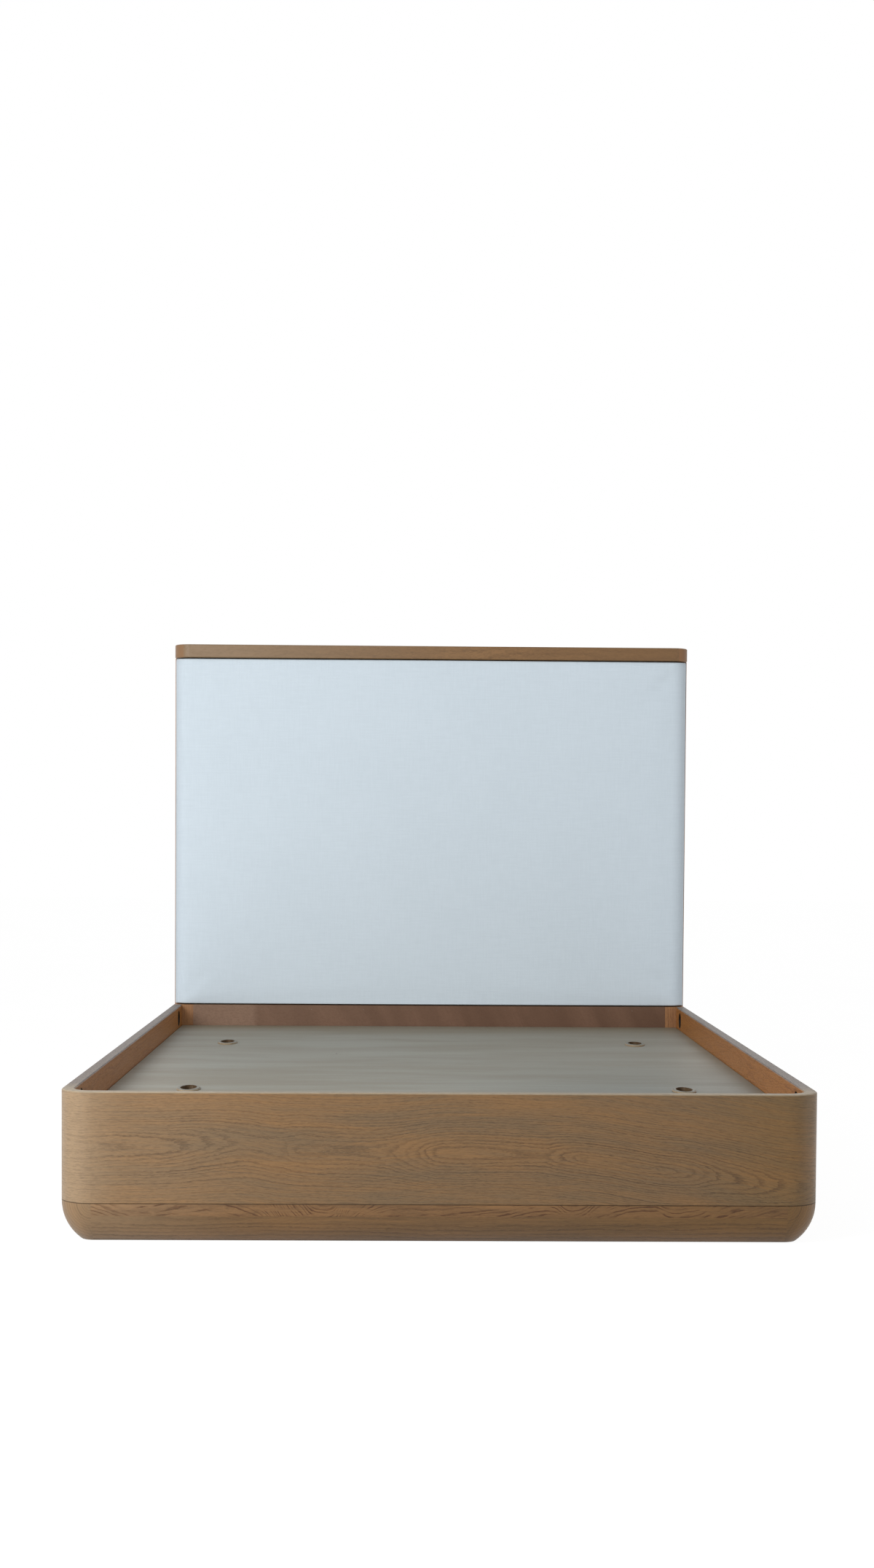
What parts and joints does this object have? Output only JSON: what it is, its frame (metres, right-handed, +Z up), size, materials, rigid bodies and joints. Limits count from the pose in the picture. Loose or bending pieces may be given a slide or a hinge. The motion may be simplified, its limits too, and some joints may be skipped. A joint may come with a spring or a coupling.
{
  "type": "panel bed",
  "caption": "Low oak panel bed: a tub with rounded front corners on a drawn-in plinth, a recessed deck that lifts out, and a tall upholstered headboard under an oak cap.",
  "frame": {"origin": "on the floor, under the middle of the bed's overall box", "axes": "+X to the right seen from the foot, +Y towards the headboard, +Z up"},
  "size_m": [1.63, 2.188, 1.464],
  "materials": {
    "oak_veneer": "satin oiled oak veneer",
    "oak_plinth": "satin oiled solid oak",
    "oak_cap": "satin oiled solid oak",
    "oak_post": "satin oiled solid oak",
    "oak_ring": "satin oiled solid oak",
    "head_plywood": "matt sealed plywood",
    "deck_plywood": "matt sealed plywood",
    "frame_softwood": "planed bare softwood",
    "beech_dowel": "bare beech",
    "cover_fabric": "plain weave",
    "pad_foam": "open cell foam",
    "zinc_steel": "zinc plated",
    "black_steel": "black oxide",
    "glide_plastic": "moulded"
  },
  "bodies": {
    "bed_frame": {"footboard_panel": "oak_veneer", "left_side_rail": "oak_veneer", "right_side_rail": "oak_veneer", "plinth_front": "oak_plinth", "plinth_left": "oak_plinth", "plinth_right": "oak_plinth", "plinth_corners": "oak_plinth", "plinth_back": "oak_plinth", "headboard_cap": "oak_cap", "left_head_post": "oak_post", "right_head_post": "oak_post", "head_panel": "head_plywood", "headboard_back_panel": "head_plywood", "head_lower_rail": "frame_softwood", "headboard_base_rail": "frame_softwood", "headboard_mid_rail": "frame_softwood", "headboard_top_rail": "frame_softwood", "left_ledger": "frame_softwood", "right_ledger": "frame_softwood", "foot_ledger": "frame_softwood", "head_ledger": "frame_softwood", "centre_beam": "frame_softwood", "cross_bearer": "frame_softwood", "centre_leg_foot": "frame_softwood", "centre_leg_mid": "frame_softwood", "centre_leg_head": "frame_softwood", "headboard_board": "frame_softwood", "plinth_dowels": "beech_dowel", "locating_dowels": "beech_dowel", "rail_dowels": "beech_dowel", "cap_dowels": "beech_dowel", "leg_dowels": "beech_dowel", "headboard_cover": "cover_fabric", "headboard_foam": "pad_foam", "threaded_inserts": "zinc_steel", "bed_bolts": "black_steel", "crescent_washers": "black_steel", "leg_glides": "glide_plastic"},
    "foot_deck": {"deck_panel_foot": "deck_plywood", "grip_ring_foot_left": "oak_ring", "grip_ring_foot_right": "oak_ring"},
    "head_deck": {"deck_panel_head": "deck_plywood", "grip_ring_head_left": "oak_ring", "grip_ring_head_right": "oak_ring"}
  },
  "joints": [
    {"name": "foot_deck_lift", "type": "slide", "parent": "bed_frame", "child": "foot_deck", "axis": [0, 0, 1], "range_m": [0, 0.15]},
    {"name": "head_deck_lift", "type": "slide", "parent": "bed_frame", "child": "head_deck", "axis": [0, 0, 1], "range_m": [0, 0.15]}
  ]
}
